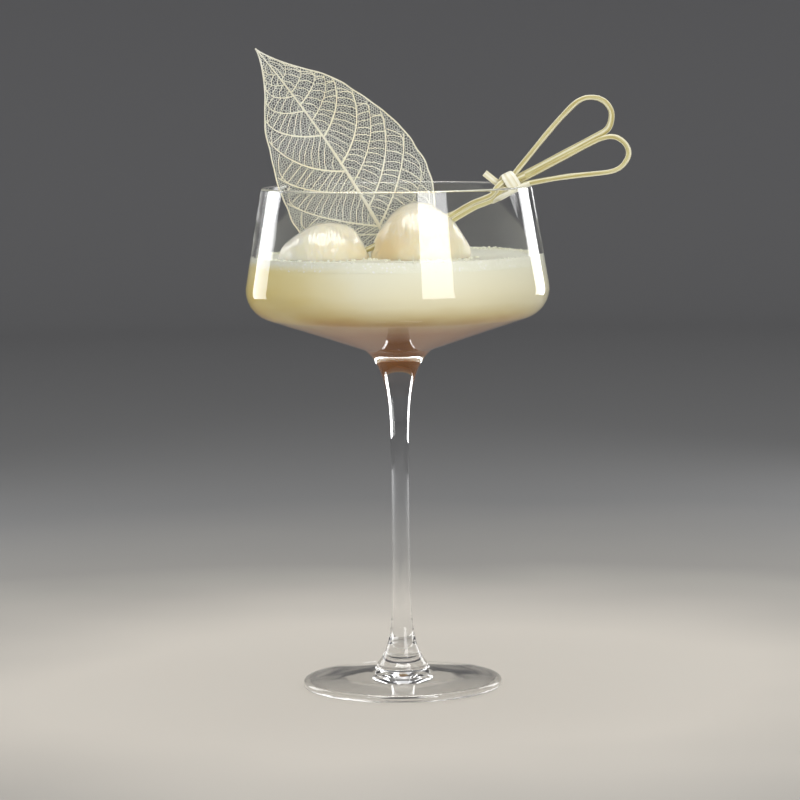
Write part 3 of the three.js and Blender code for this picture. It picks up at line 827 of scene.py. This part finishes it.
def make_bubbles(look):
    wall = hollow_outline(0, SURFACE + MENISCUS_RISE)[-1][0]
    dome = arc((0, 0), 1, -math.pi / 2, math.pi / 2, steps=8)
    dome[[0, -1], 0] = 0
    ball, ball_faces, _ = lathe(dome, sides=10)
    verts, faces = [], []
    for x, y, size in bubble_places(wall):
        inward = min(1.0, max(0.0, wall - math.hypot(x, y)) / MENISCUS_REACH)
        faces += [[index + len(verts) for index in face] for face in ball_faces]
        verts += (np.array(ball) * size + (x, y, SURFACE + meniscus(inward) + BUBBLE_RISE * size)).tolist()
    piece(add_mesh("froth_bubbles", verts, faces, [look]), "glass", None)


def pick_ends(centre, radius):
    """Ways from a fruit's centre to where the pick goes in and comes out of it."""
    nearest = KNOT + PICK_ALONG * np.dot(centre - KNOT, PICK_ALONG) - centre
    half = math.sqrt(radius ** 2 - np.dot(nearest, nearest))
    return [Vector(nearest + PICK_ALONG * half * side).normalized() for side in (-1, 1)]


def fruit_swell(way, radius, ends, seed, marks, pinch):
    """How far the flesh stands out one way from a fruit's middle, for lumps, wrinkles, marks and pick."""
    swell = LUMP_HEIGHT * noise.noise(way * LUMPS + Vector((seed, 0, 0)))
    swell += BUMP_HEIGHT * noise.noise(way * BUMPS + Vector((0, seed, 0)))
    lift = math.atan2(way.z, -way.y)
    crown = math.exp(-((way - CROWN).length / CROWN_REACH) ** 2)
    wrinkle = noise.noise(Vector((way.x * WRINKLES_ACROSS, lift * WRINKLES_UP, seed)))
    swell += WRINKLE_HEIGHT * wrinkle * crown
    for bearing, front, height, reach in marks:
        up, out = math.radians(bearing), math.radians(front)
        to = Vector((math.cos(up) * math.cos(out), -math.sin(out), math.sin(up) * math.cos(out)))
        swell += height * math.exp(-((way - to).length / math.radians(reach)) ** 2)
    for end in ends:
        swell -= pinch * math.exp(-((way - end).length * radius / PINCH_REACH) ** 2)
    return swell


def make_fruit(node, look):
    """A peeled fruit: flesh round the hollow of its stone, open below."""
    body, seed, pinch, marks = FRUITS[node]
    centre, radius = fruit_ball(node)
    stone = radius * STONE_SHARE
    outside = arc((0, 0), radius, -STEM_END, math.pi / 2, steps=90)
    inside = arc((0, 0), stone, math.pi / 2, -STEM_END, steps=20)
    lip = bend(inside[-1], (inside[-1] + outside[0]) / 2 - (0, LIP_ROUND), outside[0], steps=8)
    outline = joined(inside, lip, outside)
    outline[[0, -1], 0] = 0
    verts, faces, _ = lathe(outline, FRUIT_SIDES)
    ends = pick_ends(centre, radius)
    flesh = []
    for vert in verts:
        point = Vector(vert)
        way = point.normalized()
        share = max(0.0, (point.length - stone) / (radius - stone))
        swell = fruit_swell(way, radius, ends, seed, marks, pinch)
        flesh.append(np.array(point + way * swell * share) + centre)
    piece(add_mesh(f"{node}_flesh", flesh, faces, [look], sharp=180), body, node)


def through(points, steps):
    """A smooth run through points, each with its values, with steps between two of them."""
    points = np.array(points, float)
    padded = np.vstack([2 * points[0] - points[1], points, 2 * points[-1] - points[-2]])
    at = np.linspace(0, 1, steps, endpoint=False)[:, None]
    run = []
    for a, b, c, d in zip(padded, padded[1:], padded[2:], padded[3:]):
        run.append(b + 0.5 * at * (c - a + at * (2 * a - 5 * b + 4 * c - d + at * (3 * (b - c) + d - a))))
    return np.vstack([*run, points[-1:]])


def on_pick(points):
    """Points given along the pick from the knot, to the back and across it, in the frame of the glass."""
    points = np.array(points, float)
    return KNOT + points[:, :1] * PICK_ALONG + points[:, 1:2] * PICK_BACK + points[:, 2:] * PICK_ACROSS


def sweep(name, middles, outs, sides, section, look):
    """A closed strip along stations, each with its half thickness and half width as vectors.
    A section point is a share of each. The UV map runs in millimetres along the strip and round it."""
    count = len(section)
    verts = [m + o * a + s * b for m, o, s in zip(middles, outs, sides) for a, b in section]
    made = add_mesh(name, verts, tube_faces(len(middles), count), [look], sharp=50)

    def lengths(points):
        return np.concatenate([[0], np.cumsum(np.linalg.norm(np.diff(points, axis=0), axis=1))])

    along, girth = lengths(middles), lengths(np.array(verts[:count]))
    uv = made.data.uv_layers.new(name="UVMap")
    corners = np.array([corner.vertex_index for corner in made.data.loops])
    uv.data.foreach_set("uv", np.column_stack([along[corners // count], girth[corners % count]]).ravel())
    return made


def strip_on_pick(name, route, roll, look):
    """A flat strip along a route of points of the pick, rolled about its length by degrees."""
    route = np.array(route)
    ways = unit(np.gradient(route[:, [0, 2]], axis=0))
    turns = np.radians(np.interp(np.linspace(0, 1, len(route)), np.linspace(0, 1, len(roll)), roll))
    flat = -ways[:, 1:] * PICK_ALONG + ways[:, :1] * PICK_ACROSS
    outs = np.cos(turns)[:, None] * flat + np.sin(turns)[:, None] * PICK_BACK
    sides = np.cos(turns)[:, None] * PICK_BACK - np.sin(turns)[:, None] * flat
    middles = on_pick(route)
    wander = noise_at((x / WANDER_LENGTH, z / WANDER_LENGTH, WANDER_SEED) for x, _, z in middles)[:, None]
    outs = outs * STRIP_THICK / 2 * (1 + WANDER_THICK * wander)
    return sweep(name, middles, outs, sides * STRIP_WIDTH / 2 * (1 + WANDER_WIDTH * wander), EASED, look)


def strand_route(side):
    """Route of a strand from the knot to the fruit: it comes to lie in front of the shaft."""
    def turned(along):
        return min(1.0, max(0.0, -along - STRAND_TURN) / STRAND_EASE)
    run = through([(along, turned(along), across) for along, across in STRAND_SAG], steps=5)
    run = run[run[:, 0] < -STRAND_START]
    apart = KNOT_APART - (KNOT_APART - STRAND_APART) * run[:, 1]
    return np.column_stack([run[:, 0], -STRAND_FRONT * run[:, 1], run[:, 2] + side * apart]).tolist()


def loop_route(points):
    """A smooth route through the points of a loop, which stands in the plane of the pick."""
    run = through(points, steps=6)
    inner = (run[:, 1] < 0) & (run[:, 1] > -INNER_DROP)
    share = np.clip((INNER_FROM - run[:, 0]) / INNER_FROM, 0, INNER_MOST)
    return np.column_stack([run[:, 0], np.where(inner, INNER_BACK * share, 0), run[:, 1]]).tolist()


def make_loops(look):
    """The handle's strips, bound below the knot and bent to loops above it."""
    upper = [*loop_route(UPPER_LOOP[:UPPER_CREST + 1])[:-1], *loop_route(UPPER_LOOP[UPPER_CREST:])]
    upper = [*strand_route(1)[::-1], *upper]
    lower = [*loop_route(LOWER_LOOP), *strand_route(-1)]
    for half, route, roll in (("upper", upper, UPPER_ROLL), ("lower", lower, LOWER_ROLL)):
        strip = strip_on_pick(f"loop_{half}_strip", route, roll, look)
        piece(strip, "pick", f"pick_loop_{half}")


def make_shaft(look):
    sag = through(SHAFT_SAG, steps=8)[::-1]
    reach = np.linspace(SHAFT_TOP, SHAFT_TIP, 60)
    middles = on_pick([(along, 0, np.interp(along, sag[:, 0], sag[:, 1])) for along in reach])
    taper = np.clip((reach - SHAFT_TIP) / TIP_LENGTH, TIP_POINT, 1)[:, None] * SHAFT_RADIUS
    shaft = sweep("shaft_bamboo", middles, taper * PICK_ACROSS, taper * PICK_BACK, ROUND, look)
    piece(shaft, "pick", "pick_shaft")


def make_knot(look):
    """The flat band wound round strips and shaft, with two loose tails."""
    route = through(KNOT_ROUTE, steps=8)
    middles = on_pick(route[:, :3])
    ways = unit(np.gradient(middles, axis=0))
    facing = np.radians(route[:, 3])
    outs = -np.cos(facing)[:, None] * PICK_BACK + np.sin(facing)[:, None] * PICK_ACROSS
    sides = unit(np.cross(ways, outs))
    outs = unit(np.cross(sides, ways))
    knot = sweep("knot_band", middles, outs * KNOT_THICK / 2, sides * route[:, 4:] / 2, EASED, look)
    piece(knot, "pick", "pick_knot")


def midrib(share):
    """Point and direction of the flat leaf's midrib, from its base, as (right, up)."""
    share = np.asarray(share, float)[..., None]
    control, tip = LEAF_CONTROL, LEAF_TIP
    point = 2 * share * (1 - share) * control + share ** 2 * tip
    return point, unit(2 * (1 - share) * control + 2 * share * (tip - control))


def blade_width(share):
    """How far the blade reaches to either side of the midrib, a share of the way up."""
    def form(at):
        return at ** BLADE_SWELL * (1 - at * at) ** BLADE_FALL
    widest = math.sqrt(BLADE_SWELL / (BLADE_SWELL + 2 * BLADE_FALL))
    shoulder = 1 + BLADE_SHOULDER * np.exp(-((share - SHOULDER_AT) / SHOULDER_REACH) ** 2)
    return LEAF_HALF_WIDTH * form(np.clip(share, 0, 1)) / form(widest) * shoulder


def leaf_point(share, across):
    """A point of the flat leaf, a share of the way up and a distance to the right of the midrib."""
    point, way = midrib(share)
    right = np.stack([way[..., 1], -way[..., 0]], axis=-1)
    return point + right * np.asarray(across, float)[..., None]


def stand(flat):
    """Points of the flat leaf on the standing, slightly rippled blade."""
    flat = np.asarray(flat, float)
    across = (flat[:, 0] + LEAF_LEAN / 2) / (2 * LEAF_HALF_WIDTH)
    ripple = noise_at((x / RIPPLE_ACROSS, z / RIPPLE_UP, RIPPLE_SEED) for x, z in flat)
    depth = LEAF_PLANE + LEAF_BOW * across ** 2 + RIPPLE_HEIGHT * ripple
    return np.column_stack([flat[:, 0] + LEAF_BASE_X, depth, flat[:, 1] + LEAF_BASE])


def side_vein(vein, side, at):
    """Points on a side vein, which leaves the midrib and arches toward the tip."""
    at = np.asarray(at, float)
    start, end, _ = vein
    share = start + (end - start) * ((1 - VEIN_ARCH) * at + VEIN_ARCH * at ** VEIN_CURL)
    return share, side * at * blade_width(share)


class Net:
    """The veins of the leaf, gathered in one mesh with two looks: 0 for veins, 1 for veinlets."""

    def __init__(self):
        self.verts, self.faces, self.slots, self.count = [], [], [], 0

    def take(self, rings, faces, slot):
        """Add tubes, given as one row of points for each corner of their sections."""
        verts = np.stack(rings, axis=1).reshape(-1, 3)
        self.verts.append(verts)
        self.faces += faces
        self.slots += [slot] * len(faces)
        self.count += len(verts)

    def rib(self, flat, half_width, half_thick, sides=6):
        """A vein along points of the flat leaf; its half width may change on the way."""
        middles = stand(flat)
        across = unit(np.cross(unit(np.gradient(middles, axis=0)), LEAF_OUT))
        half = np.broadcast_to(half_width, len(middles))[:, None]
        turns = np.linspace(0, 2 * math.pi, sides, endpoint=False)
        rings = [middles + across * half * math.cos(t) + LEAF_OUT * half_thick * math.sin(t) for t in turns]
        self.take(rings, tube_faces(len(middles), sides, self.count), slot=0)


def make_leaf(veins_look, net_look):
    """The leaf: midrib, margins, side veins and all that joins them."""
    draw = random.Random(LEAF_SEED)
    net = Net()
    at = np.linspace(0, 1, 60)
    widths = MIDRIB_TIP + MIDRIB_SWELL * (1 - at) ** MIDRIB_TAPER
    net.rib(leaf_point(at, np.zeros(len(at))), widths, MIDRIB_THICK, sides=10)
    for side, veins in ((-1, LEFT_VEINS), (1, RIGHT_VEINS)):
        share = np.linspace(0, 1, 200) ** 1.8
        wave = noise_at((s * MARGIN_WAVES, side * 3, 0) for s in share)
        edge = blade_width(share) * (1 + MARGIN_WAVE * wave)
        net.rib(leaf_point(share, side * edge), MARGIN_WIDTH, MARGIN_THICK)
        for lower, upper in zip(veins, (*veins[1:], LAST_VEIN)):
            along = np.linspace(0, VEIN_END, 26)
            widths = lower[2] * np.linspace(*VEIN_WIDTHS, len(along))
            net.rib(leaf_point(*side_vein(lower, side, along)), widths, VEIN_THICK)
            add_rungs(net, draw, lower, upper, side)
            add_edge_arch(net, lower, upper, side)
    add_veinlets(net, draw)
    made = add_mesh("leaf_skeleton", np.vstack(net.verts), net.faces, [veins_look, net_look], net.slots)
    piece(made, "leaf", "leaf")


def add_rungs(net, draw, lower, upper, side):
    """Cross veins between two side veins, spaced as rungs, a little bent; the first end on the midrib."""
    ends = side_vein(lower, side, np.array([0.0, 1.0]))
    length = np.linalg.norm(np.diff(leaf_point(*ends), axis=0))
    count = max(3, int(length / RUNG_STEP))
    lean = RUNG_LEAN[side]
    t = np.linspace(0, 1, 8)
    for k in range(count):
        at = (k + RUNG_FIRST + draw.uniform(-RUNG_SHIFT, RUNG_SHIFT)) / count * RUNG_LAST
        high_at = at - lean + draw.uniform(-RUNG_SLANT, RUNG_SLANT)
        bow = RUNG_BOW * np.sin(math.pi * t) * draw.uniform(0.5, 1)
        wave = RUNG_WAVE * np.sin(3 * math.pi * t) * draw.uniform(-1, 1)
        low_share, low_across = side_vein(lower, side, at)
        if high_at > 0:
            high_share, high_across = side_vein(upper, side, high_at)
        else:
            high_share, high_across = upper[0] + (upper[0] - lower[0]) * high_at / lean, 0.0
        share = low_share + (high_share - low_share) * t
        across = low_across + (high_across - low_across) * t + side * bow + wave
        net.rib(leaf_point(share, across), draw.uniform(*RUNG_WIDTHS), RUNG_THICK, sides=5)


def add_edge_arch(net, lower, upper, side):
    """The loop that joins the end of a side vein to the next one."""
    t = np.linspace(0, 1, 14)
    low_share, _ = side_vein(lower, side, ARCH_FROM)
    high_share, _ = side_vein(upper, side, ARCH_TO)
    share = low_share + (high_share - low_share) * t
    across = side * blade_width(share) * (ARCH_FOOT + ARCH_BOW * np.sin(math.pi * t))
    net.rib(leaf_point(share, across), ARCH_WIDTH, ARCH_THICK, sides=5)


def cell_seeds(draw, length):
    """Points in uneven rows over the blade, (along, across), one in each cell between the veinlets."""
    seeds = []
    for row in range(int(length / (CELL_SIZE * CELL_ROWS)) + 2):
        along = row * CELL_SIZE * CELL_ROWS
        reach = blade_width(min(1.0, along / length)) + CELL_PAST * CELL_SIZE
        columns = int(reach / CELL_SIZE) + 1
        for column in range(-columns, columns + 1):
            across = (column + 0.5 * (row % 2)) * CELL_SIZE
            if abs(across) < reach:
                shift = [draw.uniform(-CELL_SCATTER, CELL_SCATTER) * CELL_SIZE for _ in range(2)]
                seeds.append(Vector((along + shift[0], across + shift[1])))
    return seeds


def cell_borders(seeds, length):
    """Corners of the cells, by share of the midrib and distance across, and the pairs that borders join."""
    points, _, triangles, *_ = delaunay_2d_cdt(seeds, [], [], 0, 1e-6)
    points = np.array([tuple(point) for point in points])
    along, across = points[np.array(triangles)].mean(axis=1).T
    share = np.clip(along / length, 0, 1)
    limit = blade_width(share)
    inside = (np.abs(across) < limit) & (along > 0) & (along < length)
    beside, pairs = {}, []
    for index, triangle in enumerate(triangles):
        for a, b in zip(triangle, (*triangle[1:], triangle[0])):
            other = beside.pop((b, a), None)
            if other is None:
                beside[a, b] = index
            elif inside[index] or inside[other]:
                pairs.append((other, index))
    return share, np.clip(across, -limit, limit), np.array(pairs)


def add_veinlets(net, draw):
    """The finest veins: the borders of small cells scattered over the blade, as rods of three sides."""
    length = float(np.linalg.norm(LEAF_TIP))
    share, across, pairs = cell_borders(cell_seeds(draw, length), length)
    placed = stand(leaf_point(share, across))
    first, last = placed[pairs[:, 0]], placed[pairs[:, 1]]
    kept = np.linalg.norm(last - first, axis=1) > VEINLET_LEAST
    first, last = first[kept], last[kept]
    aside = unit(np.cross(unit(last - first), LEAF_OUT)) * VEINLET_WIDTH / 2
    out = LEAF_OUT * VEINLET_THICK / 2
    sides = len(VEINLET_CORNERS)
    corners = []
    for end in (first, last):
        corners += [end + aside * math.cos(turn) + out * math.sin(turn) for turn in VEINLET_CORNERS]
    faces = []
    for rod in range(len(first)):
        faces += tube_faces(2, sides, net.count + rod * 2 * sides)
    net.take(corners, faces, slot=1)


def add_stage(look):
    """A round sweep: floor, cove and wall."""
    wall = FLOOR_RADIUS + COVE_RADIUS
    outline = joined(
        line((0, 0), (FLOOR_RADIUS, 0), steps=40),
        arc((FLOOR_RADIUS, COVE_RADIUS), COVE_RADIUS, -math.pi / 2, 0, steps=24),
        line((wall, COVE_RADIUS), (wall, WALL_TOP), steps=12),
    )
    verts, faces, _ = lathe(outline - (0, FLOOR_DROP), sides=128)
    floor = add_mesh("floor", verts, [face[::-1] for face in faces], [look], closed=False)


def add_panel(name, bearing, distance, middle, width, height, radiance):
    """A soft box to the right of the front by a bearing in degrees, turned to the glass."""
    lamp = bpy.data.lights.new(name, "AREA")
    lamp.shape = "RECTANGLE"
    lamp.size = width * MM
    lamp.size_y = height * MM
    lamp.energy = radiance * math.pi * lamp.size * lamp.size_y
    panel = add_object(name, lamp)
    angle = math.radians(bearing)
    place = Vector((math.sin(angle) * distance, -math.cos(angle) * distance, middle)) * MM
    away = place - Vector((0, 0, SURFACE * MM))
    if middle < TOP_LIGHT:
        away.z = 0
    turn = away.to_track_quat("Z", "Y")
    panel.matrix_world = Matrix.Translation(place) @ turn.to_matrix().to_4x4()
    panel.visible_camera = False
    return panel


def add_lights():
    """Soft boxes and an even light all round; the top one only gives shine, the fill one never shows."""
    panels = {name: add_panel(name, *sizes) for name, sizes in PANELS.items()}
    panels["panel_top"].visible_diffuse = False
    panels["panel_fill"].visible_glossy = False
    panels["panel_fill"].visible_transmission = False
    world = bpy.data.worlds.new("studio")
    world.use_nodes = True
    sky = world.node_tree.nodes["Background"].inputs
    sky["Color"].default_value = (1.0, 1.0, 1.0, 1.0)
    sky["Strength"].default_value = 0.95
    bpy.context.scene.world = world


def add_camera():
    data = bpy.data.cameras.new("camera")
    data.lens = CAMERA_LENS
    data.sensor_width = CAMERA_SENSOR
    data.clip_end = 20
    camera = add_object("camera", data)
    place = Matrix.Translation(Vector((CAMERA_ASIDE, -CAMERA_DISTANCE, CAMERA_HEIGHT)) * MM)
    pitch = Matrix.Rotation(math.pi / 2 - CAMERA_PITCH, 4, "X")
    camera.matrix_world = place @ pitch @ Matrix.Rotation(CAMERA_ROLL, 4, "Z")
    bpy.context.scene.camera = camera


glass_looks = [glass_look(), weld_look()]
make_bowl(glass_looks)
make_stem(glass_looks)
make_foot(glass_looks)
make_drink(drink_look())
froth = froth_look()
make_froth(froth)
make_bubbles(froth)
flesh = lychee_look()
for node in FRUITS:
    make_fruit(node, flesh)
# the last colour of each bamboo look serves both its pale fibres and the painted highlight on its corners
bamboo = bamboo_look("bamboo", rgb(206, 197, 138), rgb(180, 164, 94), rgb(240, 235, 204))
make_loops(bamboo)
make_shaft(bamboo)
make_knot(bamboo_look("knot_band", rgb(241, 236, 210), rgb(228, 219, 180), rgb(250, 247, 230)))
make_leaf(
    leaf_look("leaf_veins", rgb(253, 251, 238), rgb(250, 245, 222)),
    leaf_look("leaf_veinlets", rgb(250, 251, 245), rgb(244, 244, 232)),
)

add_stage(stage_look())
add_lights()
add_camera()
bpy.context.scene.view_settings.view_transform = "Standard"
